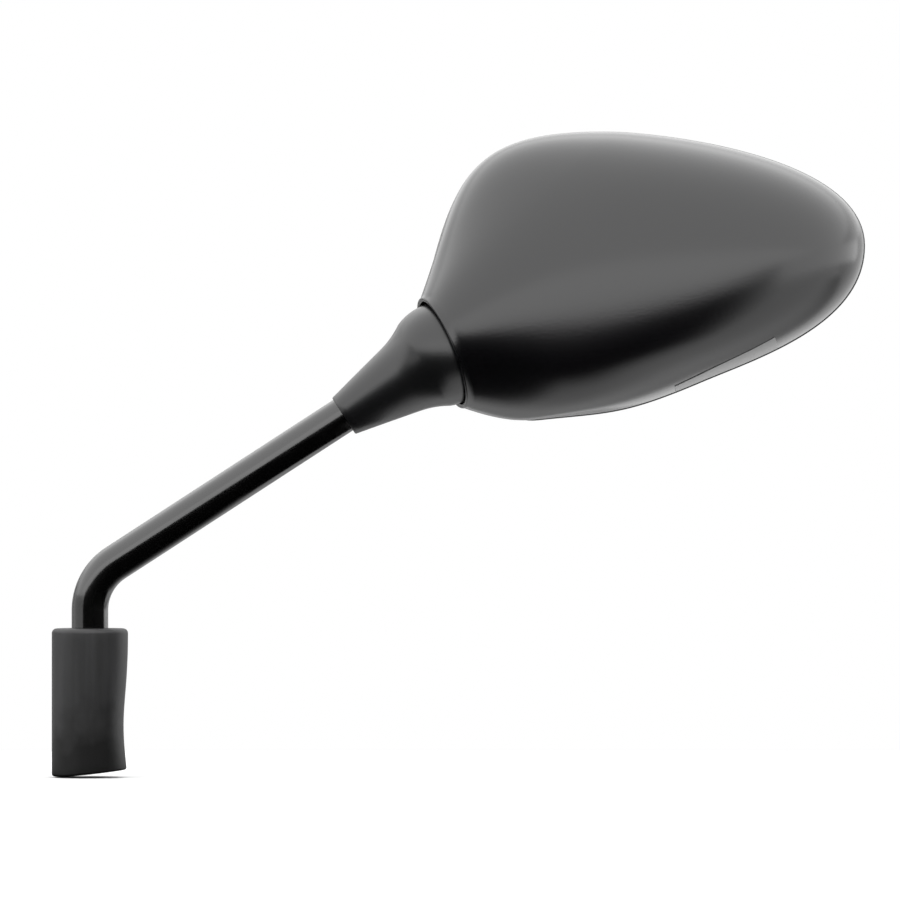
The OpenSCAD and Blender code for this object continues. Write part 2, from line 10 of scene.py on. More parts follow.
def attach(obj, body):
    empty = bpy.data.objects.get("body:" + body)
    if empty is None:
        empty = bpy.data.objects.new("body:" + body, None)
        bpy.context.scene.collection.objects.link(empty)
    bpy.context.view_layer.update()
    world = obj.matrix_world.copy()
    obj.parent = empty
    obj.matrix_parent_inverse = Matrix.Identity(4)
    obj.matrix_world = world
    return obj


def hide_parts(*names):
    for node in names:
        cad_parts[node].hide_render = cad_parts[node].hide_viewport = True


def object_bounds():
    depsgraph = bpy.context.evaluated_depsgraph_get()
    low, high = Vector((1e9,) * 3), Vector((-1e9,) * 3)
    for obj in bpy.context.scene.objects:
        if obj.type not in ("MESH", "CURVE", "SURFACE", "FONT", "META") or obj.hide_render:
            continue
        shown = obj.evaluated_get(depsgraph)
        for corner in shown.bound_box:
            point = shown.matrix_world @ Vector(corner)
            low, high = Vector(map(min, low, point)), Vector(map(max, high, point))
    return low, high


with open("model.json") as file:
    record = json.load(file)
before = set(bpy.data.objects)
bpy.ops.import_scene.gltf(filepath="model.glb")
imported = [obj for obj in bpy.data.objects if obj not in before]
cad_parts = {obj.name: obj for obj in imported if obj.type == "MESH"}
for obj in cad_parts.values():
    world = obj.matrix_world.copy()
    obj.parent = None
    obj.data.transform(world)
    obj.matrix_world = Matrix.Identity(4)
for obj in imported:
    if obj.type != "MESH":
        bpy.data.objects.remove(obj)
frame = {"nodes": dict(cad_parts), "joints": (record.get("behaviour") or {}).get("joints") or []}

# A motorcycle mirror: bent rod stem, rubber base sleeve, neck boot and a moulded head with convex glass.
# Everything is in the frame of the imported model. The pieces' sizes are in millimetres, the stage's in metres.

cadLow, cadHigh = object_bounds()
mm = 0.001
joints = {joint["name"]: joint for joint in frame["joints"]}
ballCentre = Vector(joints["head_tilt"]["pos_m"])
armAxis = Vector(joints["head_tilt"]["axis"])
armTurn = math.atan2(armAxis.x, armAxis.z)  # from vertical to the arm
scene = bpy.context.scene


def finishPiece(name, mesh, body, replaced, material, creaseAngle):
    # welds the mesh, shades it smooth but for edges sharper than the crease, and puts it on its body
    bmesh.ops.remove_doubles(mesh, verts=mesh.verts, dist=1e-7)
    bmesh.ops.recalc_face_normals(mesh, faces=mesh.faces)
    for face in mesh.faces:
        face.smooth = True
    for edge in mesh.edges:
        if edge.is_manifold and edge.calc_face_angle(0) > math.radians(creaseAngle):
            edge.smooth = False
    data = bpy.data.meshes.new(name)
    mesh.to_mesh(data)
    mesh.free()
    piece = bpy.data.objects.new(name, data)
    scene.collection.objects.link(piece)
    data.materials.append(material)
    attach(piece, body)
    if replaced:
        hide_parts(*replaced)
    return piece


def turnOnAxis(mesh, profile, steps, closed=True):
    # spins a profile of (radius, height) round Z and welds the ends together
    verts = [mesh.verts.new((r * mm, 0, z * mm)) for r, z in profile]
    edges = [mesh.edges.new(pair) for pair in zip(verts, verts[1:])]
    if closed:
        edges.append(mesh.edges.new((verts[-1], verts[0])))
    bmesh.ops.spin(
        mesh, geom=verts + edges, cent=(0, 0, 0), axis=(0, 0, 1), angle=math.tau, steps=steps, use_merge=True
    )


def alongArm(mesh):
    # lays a shape drawn round Z along the arm, with its origin at the ball's centre
    place = Matrix.Translation(ballCentre) @ Matrix.Rotation(armTurn, 4, "Y")
    bmesh.ops.transform(mesh, matrix=place, verts=mesh.verts)


def arcPoints(cx, cy, r, start, end, steps):
    return [
        (
            cx + r * math.cos(math.radians(start + (end - start) * k / steps)),
            cy + r * math.sin(math.radians(start + (end - start) * k / steps)),
        )
        for k in range(steps + 1)
    ]


def rimLoop(mesh, places):
    verts = [mesh.verts.new(place) for place in places]
    return [mesh.edges.new(pair) for pair in zip(verts, verts[1:] + verts[:1])]


def growRing(mesh, edges, places):
    # extrudes a loop of edges and moves the new loop's points, in order, to their places
    made = bmesh.ops.extrude_edge_only(mesh, edges=edges)["geom"]
    verts = [item for item in made if isinstance(item, bmesh.types.BMVert)]
    for vert, place in zip(verts, places):
        vert.co = place
    return [item for item in made if isinstance(item, bmesh.types.BMEdge)]


# Materials: sizes of grain, peel and streaks are in millimetres, and a scale is 1000 divided by such a size.
# Grain that is finer than a pixel is drawn coarser than the real one, so that it still softens the highlights.


def linearPaint(code, share=1.0):
    # sRGB hex to linear, made darker or paler by a share
    values = [int(code[k : k + 2], 16) / 255 for k in (1, 3, 5)]
    linear = [v / 12.92 if v <= 0.04045 else ((v + 0.055) / 1.055) ** 2.4 for v in values]
    return [min(1, share * v) for v in linear] + [1]


def addNode(tree, kind, inputs=None, links=None, stops=None, **settings):
    node = tree.nodes.new(kind)
    for name, value in settings.items():
        setattr(node, name, value)
    for name, value in (inputs or {}).items():
        node.inputs[name].default_value = value
    for name, source in (links or {}).items():
        tree.links.new(source, node.inputs[name])
    if stops:
        for element, (position, colour) in zip(node.color_ramp.elements, stops):
            element.position, element.color = position, colour
    return node


def newFinish(name, colour, roughness, **sockets):
    material = bpy.data.materials.new(name)
    material.use_nodes = True
    shader = material.node_tree.nodes["Principled BSDF"]
    shader.inputs["Base Color"].default_value = linearPaint(colour)
    shader.inputs["Roughness"].default_value = roughness
    for socket, value in sockets.items():
        shader.inputs[socket].default_value = value
    return material, material.node_tree, shader


def mouldedPlastic(name, colour, roughness, grain, grainDepth, spread):
    # plastic from an etched mould: a fine even grain that turns highlights to a satin sheen
    material, tree, shader = newFinish(name, colour, roughness, **{"IOR": 1.54})
    point = addNode(tree, "ShaderNodeTexCoord").outputs["Object"]
    fine = addNode(
        tree, "ShaderNodeTexNoise", {"Scale": 1000 / grain, "Detail": 2.0, "Roughness": 0.6}, {"Vector": point}
    )
    bump = addNode(
        tree, "ShaderNodeBump", {"Strength": 0.35, "Distance": grainDepth * mm}, {"Height": fine.outputs["Fac"]}
    )
    tree.links.new(bump.outputs["Normal"], shader.inputs["Normal"])
    broad = addNode(tree, "ShaderNodeTexNoise", {"Scale": 22.0, "Detail": 3.0}, {"Vector": point})
    spreadNode = addNode(
        tree,
        "ShaderNodeMapRange",
        {"To Min": roughness - spread, "To Max": roughness + spread},
        {"Value": broad.outputs["Fac"]},
    )
    tree.links.new(spreadNode.outputs["Result"], shader.inputs["Roughness"])
    stops = [(0.35, linearPaint(colour)), (0.75, linearPaint(colour, 1.35))]
    tint = addNode(tree, "ShaderNodeValToRGB", links={"Fac": broad.outputs["Fac"]}, stops=stops)
    tree.links.new(tint.outputs["Color"], shader.inputs["Base Color"])
    return material


def powderCoat(name, colour, roughness, peel, peelDepth, haze):
    # gloss powder coat on steel under a clear top coat: long clean highlights with a faint orange peel
    material, tree, shader = newFinish(
        name, colour, roughness, **{"IOR": 1.55, "Coat Weight": 0.4, "Coat Roughness": 0.09, "Coat IOR": 1.5}
    )
    point = addNode(tree, "ShaderNodeTexCoord").outputs["Object"]
    dimples = addNode(tree, "ShaderNodeTexNoise", {"Scale": 1000 / peel, "Detail": 1.0}, {"Vector": point})
    bump = addNode(
        tree, "ShaderNodeBump", {"Strength": 0.12, "Distance": peelDepth * mm}, {"Height": dimples.outputs["Fac"]}
    )
    tree.links.new(bump.outputs["Normal"], shader.inputs["Normal"])
    tree.links.new(bump.outputs["Normal"], shader.inputs["Coat Normal"])
    broad = addNode(tree, "ShaderNodeTexNoise", {"Scale": 90.0, "Detail": 4.0}, {"Vector": point})
    spread = addNode(
        tree, "ShaderNodeMapRange", {"To Min": haze[0], "To Max": haze[1]}, {"Value": broad.outputs["Fac"]}
    )
    tree.links.new(spread.outputs["Result"], shader.inputs["Roughness"])
    return material


def mouldedRubber(name, colour, roughness, pebble, wave, streak):
    # compression-moulded rubber: dull, with a fine pebble, faint streaks down its side, and a colour and shine
    # that turn darker towards the bottom
    material, tree, shader = newFinish(name, colour, roughness, **{"IOR": 1.5})
    point = addNode(tree, "ShaderNodeTexCoord").outputs["Object"]
    pebbles = addNode(tree, "ShaderNodeTexNoise", {"Scale": 1000 / pebble, "Detail": 3.0}, {"Vector": point})
    waves = addNode(tree, "ShaderNodeTexNoise", {"Scale": 1000 / wave, "Detail": 2.0}, {"Vector": point})
    heights = addNode(
        tree,
        "ShaderNodeMath",
        {1: 3.0},
        {0: waves.outputs["Fac"], 2: pebbles.outputs["Fac"]},
        operation="MULTIPLY_ADD",
    )
    bump = addNode(
        tree, "ShaderNodeBump", {"Strength": 0.4, "Distance": 0.08 * mm}, {"Height": heights.outputs[0]}
    )
    tree.links.new(bump.outputs["Normal"], shader.inputs["Normal"])
    drawn = addNode(tree, "ShaderNodeMapping", {"Scale": (1, 1, 0.06)}, {"Vector": point}).outputs["Vector"]
    streaks = addNode(tree, "ShaderNodeTexNoise", {"Scale": 1000 / streak, "Detail": 3.0}, {"Vector": drawn})
    height = addNode(tree, "ShaderNodeSeparateXYZ", links={"Vector": point}).outputs["Z"]
    ragged = addNode(
        tree, "ShaderNodeMath", {1: 0.03}, {0: waves.outputs["Fac"], 2: height}, operation="MULTIPLY_ADD"
    ).outputs[0]
    foot = addNode(
        tree, "ShaderNodeMapRange", {"From Min": -0.005, "From Max": 0.012, "To Min": 0.12}, {"Value": ragged}
    ).outputs["Result"]
    stops = [(0.35, linearPaint(colour, 0.6)), (0.7, linearPaint(colour, 1.6))]
    bloom = addNode(tree, "ShaderNodeValToRGB", links={"Fac": streaks.outputs["Fac"]}, stops=stops)
    # the colour turns almost black towards the bottom of the piece, along a ragged line, and its shine drops there
    # too
    darkerLow = addNode(
        tree,
        "ShaderNodeMixRGB",
        {"Color1": (0.001, 0.001, 0.001, 1)},
        {"Fac": foot, "Color2": bloom.outputs["Color"]},
    )
    tree.links.new(darkerLow.outputs["Color"], shader.inputs["Base Color"])
    shine = addNode(tree, "ShaderNodeMapRange", {"To Min": 0.3, "To Max": 0.5}, {"Value": foot})
    tree.links.new(shine.outputs["Result"], shader.inputs["Specular IOR Level"])
    return material


def platedSteel(name, colour, roughness, streak):
    # zinc-plated or turned steel: metallic, with fine streaks left by the tool
    material, tree, shader = newFinish(name, colour, roughness, **{"Metallic": 1.0})
    point = addNode(tree, "ShaderNodeTexCoord").outputs["Object"]
    drawn = addNode(tree, "ShaderNodeMapping", {"Scale": (1, 1, streak)}, {"Vector": point}).outputs["Vector"]
    lines = addNode(tree, "ShaderNodeTexNoise", {"Scale": 1000 / 0.8, "Detail": 4.0}, {"Vector": drawn})
    spread = addNode(
        tree,
        "ShaderNodeMapRange",
        {"To Min": roughness - 0.08, "To Max": roughness + 0.12},
        {"Value": lines.outputs["Fac"]},
    )
    tree.links.new(spread.outputs["Result"], shader.inputs["Roughness"])
    bump = addNode(
        tree, "ShaderNodeBump", {"Strength": 0.15, "Distance": 0.02 * mm}, {"Height": lines.outputs["Fac"]}
    )
    tree.links.new(bump.outputs["Normal"], shader.inputs["Normal"])
    return material


def silveredGlass(name, colour, roughness):
    # float glass silvered on its back: a clean bright mirror with the faintest haze of dust
    material, tree, shader = newFinish(name, colour, roughness, **{"Metallic": 1.0})
    point = addNode(tree, "ShaderNodeTexCoord").outputs["Object"]
    dust = addNode(tree, "ShaderNodeTexNoise", {"Scale": 60.0, "Detail": 5.0}, {"Vector": point})
    spread = addNode(tree, "ShaderNodeMapRange", {"To Min": 0.01, "To Max": 0.035}, {"Value": dust.outputs["Fac"]})
    tree.links.new(spread.outputs["Result"], shader.inputs["Roughness"])
    return material


# deep black with a soft sheen on the head, a little duller on the boot and the bezel, and a flat grey film
housingPlastic = mouldedPlastic("satinBlackAbsHousing", "#030304", 0.22, 0.9, 0.05, 0.02)
bootPlastic = mouldedPlastic("satinBlackElastomerBoot", "#060607", 0.31, 0.8, 0.05, 0.02)
bezelPlastic = mouldedPlastic("satinBlackAbsBezel", "#08080a", 0.32, 0.35, 0.02, 0.02)
panelFilm = mouldedPlastic("satinGreyFilmPanel", "#5c5c5c", 0.34, 0.5, 0.01, 0.03)
# duller plastics inside: charcoal carrier and bracket, an ivory seat and a matte foam
carrierPlastic = mouldedPlastic("blackAbsCarrier", "#1d1d1f", 0.5, 0.5, 0.03, 0.04)
bracketNylon = mouldedPlastic("glassFilledNylonBracket", "#26272a", 0.6, 0.7, 0.05, 0.05)
seatAcetal = mouldedPlastic("naturalAcetalSeat", "#d8d4c8", 0.4, 0.8, 0.02, 0.03)
padFoam = mouldedPlastic("closedCellFoamPad", "#1c1c1d", 0.9, 1.2, 0.3, 0.05)
glossCoat = powderCoat("glossBlackPowderCoat", "#020202", 0.16, 1.5, 0.03, (0.12, 0.24))
sleeveRubber = mouldedRubber("matteMouldedRubber", "#151516", 0.52, 0.6, 9.0, 3.5)
# streaks run along Z on the plated parts, and round it on the turned ball
zincSteel = platedSteel("zincPlatedSteel", "#b9bcc0", 0.36, 0.3)
blackSteel = platedSteel("blackOxideSteel", "#3a3b3e", 0.45, 0.3)
turnedSteel = platedSteel("turnedSteelBall", "#aeb0b4", 0.25, 8.0)
mirrorGlass = silveredGlass("silveredConvexGlass", "#e4e8e8", 0.02)
print("materials made")

# Stem: one ring of the rod drawn up the stem, round the bend and along the arm

stemSize = dict(
    rodR=6.0,
    rodEdge=0.6,
    shoulder=9.0,
    bendHeight=37.0,
    bendR=18.5,
    neckLength=18.0,
    neckR=3.2,
    neckEdge=1.0,
    neckEnd=6.1,  # before the ball's centre
    spigotR=2.0,
    spigotEnd=5.38,  # past the ball's centre
    peenR=2.8,
    peenHeight=0.72,
    peenEdge=0.6,
    studR=5.0,
    studLength=25.0,
    tipEdge=1.0,
    pitch=1.5,
    threadDepth=0.62,
    threadForm=(0.12, 0.5, 0.62),  # end of the root, start and end of the crest, as shares of the pitch
    threadTop=8.0,
    relief=0.2,
    rodSteps=96,
    bendSteps=28,
    threadSteps=72,
)


def buildThread(size, coreR):
    # a saw-tooth edge spun one turn while it climbs one pitch
    thread = bmesh.new()
    pitch, studR = size["pitch"], size["studR"]
    rootEnd, crestStart, crestEnd = size["threadForm"]
    turns = math.ceil((size["studLength"] + size["threadTop"]) / pitch) + 2
    low = -size["studLength"] - pitch
    profile = []
    for k in range(turns):
        base = low + k * pitch
        profile += [(coreR, base), (coreR, base + rootEnd * pitch)]
        profile += [(studR, base + crestStart * pitch), (studR, base + crestEnd * pitch)]
    profile.append((coreR, low + turns * pitch))
    verts = [thread.verts.new((r * mm, 0, z * mm)) for r, z in profile]
    edges = [thread.edges.new(pair) for pair in zip(verts, verts[1:])]
    steps = size["threadSteps"]
    climb = (0, 0, pitch * mm / steps)
    bmesh.ops.spin(
        thread, geom=verts + edges, cent=(0, 0, 0), axis=(0, 0, 1), dvec=climb, angle=math.tau, steps=steps
    )
    bmesh.ops.remove_doubles(thread, verts=thread.verts, dist=1e-6)
    for vert in thread.verts:
        # trimmed to the stud's chamfered tip below and to its relief above
        vert.co.z = min(max(vert.co.z, -size["studLength"] * mm), size["threadTop"] * mm)
        cone = studR * mm - size["tipEdge"] * mm + vert.co.z + size["studLength"] * mm
        reach = min(1.0, cone / vert.co.xy.length)
        if vert.co.z >= size["threadTop"] * mm:
            reach = (coreR - size["relief"]) * mm / vert.co.xy.length
        vert.co.xy = vert.co.xy * reach
    return thread


def buildStem(size):
    mesh = bmesh.new()
    bendTangent = size["bendR"] * math.tan(armTurn / 2)
    armLength = (ballCentre - Vector((0, 0, size["bendHeight"] * mm))).length / mm
    bmesh.ops.create_circle(
        mesh, segments=size["rodSteps"], radius=size["rodR"] * mm - size["rodEdge"] * mm, cap_ends=True
    )
    bmesh.ops.translate(mesh, vec=(0, 0, size["shoulder"] * mm), verts=mesh.verts)
    edges = list(mesh.edges)

    def draw(edges, shift, grow=0.0):
        made = bmesh.ops.extrude_edge_only(mesh, edges=edges)["geom"]
        verts = [item for item in made if isinstance(item, bmesh.types.BMVert)]
        centre = sum((vert.co for vert in verts), Vector()) / len(verts)
        for vert in verts:
            out = vert.co - centre
            vert.co += out.normalized() * grow * mm + shift * mm
        return [item for item in made if isinstance(item, bmesh.types.BMEdge)]

    up = Vector((0, 0, 1))
    edges = draw(edges, up * size["rodEdge"], size["rodEdge"])
    edges = draw(edges, up * (size["bendHeight"] - bendTangent - size["shoulder"] - size["rodEdge"]))
    bend = bmesh.ops.spin(
        mesh,
        geom=edges,
        cent=(size["bendR"] * mm, 0, (size["bendHeight"] - bendTangent) * mm),
        axis=(0, 1, 0),
        angle=armTurn,
        steps=size["bendSteps"],
    )["geom_last"]
    edges = [item for item in bend if isinstance(item, bmesh.types.BMEdge)]
    edges = draw(edges, armAxis * (armLength - bendTangent - size["neckLength"] - size["neckEdge"]))
    edges = draw(edges, armAxis * size["neckEdge"], -size["neckEdge"])
    edges = draw(edges, Vector(), size["neckR"] - size["rodR"] + size["neckEdge"])
    edges = draw(edges, armAxis * (size["neckLength"] - size["neckEnd"]))
    edges = draw(edges, Vector(), size["spigotR"] - size["neckR"])
    edges = draw(edges, armAxis * (size["neckEnd"] + size["spigotEnd"]))
    edges = draw(edges, Vector(), size["peenR"] - size["spigotR"])
    edges = draw(edges, armAxis * size["peenHeight"], -size["peenEdge"])
    bmesh.ops.holes_fill(mesh, edges=edges)

    coreR = size["studR"] - size["threadDepth"]
    thread = buildThread(size, coreR)
    data = bpy.data.meshes.new("threadDraft")
    thread.to_mesh(data)
    thread.free()
    mesh.from_mesh(data)
    bpy.data.meshes.remove(data)
    reliefR = coreR - size["relief"]
    relief = [(reliefR, size["threadTop"]), (reliefR, size["shoulder"])]
    turnOnAxis(mesh, relief, size["threadSteps"], closed=False)
    bmesh.ops.create_circle(
        mesh,
        segments=size["threadSteps"],
        radius=(size["studR"] - size["tipEdge"]) * mm,
        cap_ends=True,
        matrix=Matrix.Translation((0, 0, -size["studLength"] * mm)),
    )
    return finishPiece("stemRod", mesh, "stem", ["stem"], glossCoat, 30)


buildStem(stemSize)
print("stem made")

# Base sleeve: a lathe-turned form, then pushed in on its arm side and cut a little askew, as rubber sits

sleeveSize = dict(
    outerR=12.5,
    wall=2.0,
    top=21.0,
    bottom=-27.5,
    shoulder=1.6,
    footEdge=0.9,
    innerEdge=0.4,
    collar=10.0,
    boreR=6.1,
    boreEdge=0.7,
    easeLow=2.4,
    easeStep=(1.0, 0.6),
    easeWidth=2.0,
    sideDent=1.45,
    dentHeight=-11.0,
    dentReach=15.0,
    dentTop=10.0,
    innerShare=0.45,  # of the dent that reaches the inner wall
    lowerTilt=2.2,
    tiltStart=8.0,
    tiltWidth=20.0,
    tiltReach=14.0,
    rows=26,
    innerRows=10,
    steps=144,
)


def buildSleeve(size):
    mesh = bmesh.new()
    outer, inner = size["outerR"], size["outerR"] - size["wall"]
    top, bottom, collarLow = size["top"], size["bottom"], size["top"] - size["collar"]
    boreR, boreEdge, shoulder, foot = size["boreR"], size["boreEdge"], size["shoulder"], size["footEdge"]
    highest, lowest = top - shoulder, bottom + foot
    profile = [(boreR, collarLow), (boreR, top - boreEdge)]
    profile += arcPoints(boreR + boreEdge, top - boreEdge, boreEdge, 180, 90, 4)[1:]
    profile += arcPoints(outer - shoulder, highest, shoulder, 90, 0, 8)
    profile += [(outer, highest + (lowest - highest) * k / size["rows"]) for k in range(1, size["rows"])]
    profile += arcPoints(outer - foot, lowest, foot, 0, -90, 6)
    profile += [(inner + size["innerEdge"], bottom), (inner, bottom + size["innerEdge"])]
    rise, rows = collarLow - size["easeLow"] - bottom, size["innerRows"]
    profile += [(inner, bottom + size["innerEdge"] + rise * k / rows) for k in range(1, rows + 1)]
    profile += [(inner - size["easeStep"][0], collarLow - size["easeStep"][1])]
    profile += [(inner - size["easeWidth"], collarLow)]
    turnOnAxis(mesh, profile, size["steps"])
    for vert in mesh.verts:
        x, y, z = vert.co / mm
        side = max(0.0, x / outer)
        dent = size["sideDent"] * math.exp(-(((z - size["dentHeight"]) / size["dentReach"]) ** 2)) * side**2
        if z > size["dentTop"]:
            dent *= max(0.0, (highest - z) / (highest - size["dentTop"]))
        if math.hypot(x, y) < inner + 0.5:
            dent *= size["innerShare"]
        askew = max(0.0, (x + size["tiltStart"]) / size["tiltWidth"])
        near = max(0.0, (bottom + size["tiltReach"] - z) / size["tiltReach"])
        vert.co.x -= dent * mm
        vert.co.z += size["lowerTilt"] * askew * near**2 * mm
    return finishPiece("baseSleeve", mesh, "sleeve", ["base_sleeve"], sleeveRubber, 40)


buildSleeve(sleeveSize)
print("sleeve made")

# Neck boot: the cone and its ball-shaped end

bootSize = dict(
    ballR=17.2,
    wall=1.3,
    taper=12.6,
    length=38.0,
    mouthR=7.1,
    mouthEdge=0.3,
    boreR=6.05,
    boreEdge=(0.15, 0.35),
    reach=126.0,
    grip=7.0,
    fillet=5.0,
    ballStart=-11.0,  # height at which the cone passes into the ball-shaped end
    sag=0.95,
    mouthShare=0.4,  # of the sag at the mouth
    innerShare=0.45,  # of the sag that reaches the inner skin
    steps=160,
)


def buildBoot(size):
    mesh = bmesh.new()
    slope, taper = math.tan(math.radians(size["taper"])), size["taper"]
    ballR, length, mouthR, boreR = size["ballR"], size["length"], size["mouthR"], size["boreR"]
    side = (mouthR + length * slope) * math.cos(math.radians(taper))
    join = math.degrees(math.acos(side / ballR))
    innerR = ballR - size["wall"]
    innerJoin = math.degrees(math.acos((side - size["wall"]) / innerR))
    profile = [(boreR, size["boreEdge"][1] - length), (boreR + size["boreEdge"][0], -length)]
    profile += [(mouthR - size["mouthEdge"], -length), (mouthR, size["mouthEdge"] - length)]
    # the cone eases into the ball-shaped end without an edge
    coneStart = Vector(profile[-1])
    corner = Vector(arcPoints(0, 0, ballR, -join - taper, 0, 1)[0])
    before = corner - (corner - coneStart).normalized() * size["fillet"]
    eased = math.degrees(size["fillet"] / ballR)
    ballArc = arcPoints(0, 0, ballR, -join - taper + eased, size["reach"] - 90, 48)
    after = Vector(ballArc[0])
    profile += [tuple(coneStart.lerp(before, k / 12)) for k in range(1, 13)]
    profile += [tuple(before.lerp(corner, k / 10).lerp(corner.lerp(after, k / 10), k / 10)) for k in range(1, 10)]
    profile += ballArc
    profile += arcPoints(0, 0, innerR, size["reach"] - 90, -innerJoin - taper, 24)
    profile += [(boreR, size["grip"] - length)]
    turnOnAxis(mesh, profile, size["steps"])
    for vert in mesh.verts:
        # the soft cone hangs a little below the arm, its outer skin more than the inner one that grips the rod
        height, radius = vert.co.z / mm, vert.co.xy.length / mm
        along = min(1.0, max(0.0, (height + length) / length))
        inBall = height > size["ballStart"]
        outer = ballR if inBall else mouthR + (height + length) * slope
        reach = Vector((radius, height)).length if inBall else radius
        if reach < outer - 0.5 * size["wall"]:
            share = size["innerShare"] * along**2
        else:
            share = size["mouthShare"] + (1 - size["mouthShare"]) * along**1.4
        vert.co.x += size["sag"] * share * mm
    alongArm(mesh)
    return finishPiece("neckBoot", mesh, "stem", ["neck_boot"], bootPlastic, 40)


buildBoot(bootSize)
print("boot made")

# Head: the rim's outline, and one smooth sweep from each rim point round to the neck opening

headSize = dict(
    rimY=26.0,
    rimFlat=0.45,  # from the rim's outline to where its edge begins
    rimRound=0.13,
    wall=2.5,
    recessWall=2.0,
    recessDepth=7.0,
    recessEdge=0.3,
    recessFloor=0.9,
    lipR=17.95,
    lipAlong=1.1,
    lipDown=0.6,
    lipWidth=1.6,
    lipShare=0.55,  # of the lip's width that the wall thins to
    bead=0.9,
    # each sweep's lean and its two handles: a base, then what the tip's side and the top side add
    flare=(42, -6, 4),
    backHandle=(4, 54, -9),
    neckHandle=(8, 12, -5),
    rimSteps=40,
    sweepSteps=34,
    wallSteps=16,
)
# four posts for the bracket's screws, as (x, z) from the ball's centre
bossSize = dict(
    points=[(30, 1), (32, 32), (68, 8), (66, 38)],
    r=3.4,
    coreR=1.9,
    depth=11.0,
    face=-2.0,
    floor=0.4,
    root=0.8,
    steps=48,
)
# place, heading, handle before and handle after, round the rim from the tip over the top
rimAnchors = [
    ((140, 35.5), 90, 26, 30),
    ((55.5, 73), 179.5, 16, 40),
    ((-2, 31.5), 255, 32, 24),
    ((32, -22), 6, 20, 24),
    ((86, -9.5), 23, 28, 20.5),
]
openingAxis = Vector((0.9066, 0.225, 0.3571))
openingBack = Vector((0.209, -0.9743, 0.0834))
openingUp = openingBack.cross(openingAxis)
fanCentre, fanTurn = Vector((28, 10)), 11
nearby = 0.01  # a small step along the rim or a sweep, to find its direction


def bezierPoint(a, b, c, d, t):
    return a * (1 - t) ** 3 + b * 3 * t * (1 - t) ** 2 + c * 3 * t * t * (1 - t) + d * t**3


def headingOf(angle):
    return Vector((math.cos(math.radians(angle)), math.sin(math.radians(angle))))


def roundRim(steps):
    return [k / steps for k in range(len(rimAnchors) * steps)]


def rimAt(u):
    count = len(rimAnchors)
    w = u % count
    a, b = rimAnchors[int(w)], rimAnchors[(int(w) + 1) % count]
    first, last = Vector(a[0]), Vector(b[0])
    return bezierPoint(first, first + headingOf(a[1]) * a[3], last - headingOf(b[1]) * b[2], last, w - int(w))


def rimInward(u, inset):
    along = rimAt(u + nearby) - rimAt(u - nearby)
    return rimAt(u) - Vector((along.y, -along.x)).normalized() * inset


def rimInset(u, inset, y):
    point = rimInward(u, inset)
    return ballCentre + Vector((point.x, y, point.y)) * mm


def fanAngle(u):
    spoke = rimAt(u) - fanCentre
    return math.atan2(spoke.y, spoke.x) - math.radians(fanTurn)


def lipShift():
    # the lip stands a little up the neck's axis and a little low, as the photographed one does
    return openingAxis * headSize["lipAlong"] - openingUp * headSize["lipDown"]


def skinAt(u, v):
    a = fanAngle(u)
    half, lift = math.cos(a / 2) ** 2, math.sin(a)
    rim = rimAt(u)
    start = Vector((rim.x, headSize["rimY"], rim.y))
    outward = openingBack * math.cos(a) + openingUp * lift
    end = outward * (headSize["lipR"] + headSize["lipWidth"]) + lipShift()
    base, tip, top = headSize["flare"]
    flare = math.radians(base + tip * math.cos(a) + top * lift)
    flow = openingAxis * math.cos(flare) + outward * math.sin(flare)
    base, tip, top = headSize["backHandle"]
    back = Vector((0, base + tip * half + top * lift, 0))
    base, tip, top = headSize["neckHandle"]
    neck = flow * (base + tip * half + top * lift)
    return bezierPoint(start, start - back, end + neck, end, v)


def lipAt(u, r, along):
    a = fanAngle(u)
    outward = openingBack * math.cos(a) + openingUp * math.sin(a)
    return ballCentre + (outward * r + openingAxis * along + lipShift()) * mm


def addBosses(mesh, size):
    # round posts that stand on the inner wall and carry the bracket, each with a blind hole for its screw
    skin = BVHTree.FromBMesh(mesh)
    bore, post = size["coreR"] * mm, size["r"] * mm
    turns = [math.tau * k / size["steps"] for k in range(size["steps"])]
    spokes = [Vector((math.cos(turn), 0, math.sin(turn))) for turn in turns]
    for x, z in size["points"]:
        face = ballCentre + Vector((x, size["face"], z)) * mm
        floor = face - Vector((0, size["depth"] * mm, 0))
        walls = [skin.ray_cast(face + spoke * post, Vector((0, -1, 0)))[0] for spoke in spokes]
        floor.y = max(floor.y, max(wall.y for wall in walls) + size["floor"] * mm)
        edges = rimLoop(mesh, [floor + spoke * bore for spoke in spokes])
        bmesh.ops.edgeloop_fill(mesh, edges=edges)
        edges = growRing(mesh, edges, [face + spoke * bore for spoke in spokes])
        edges = growRing(mesh, edges, [face + spoke * post for spoke in spokes])
        edges = growRing(mesh, edges, [wall - Vector((0, size["root"] * mm, 0)) for wall in walls])
        bmesh.ops.edgeloop_fill(mesh, edges=edges)


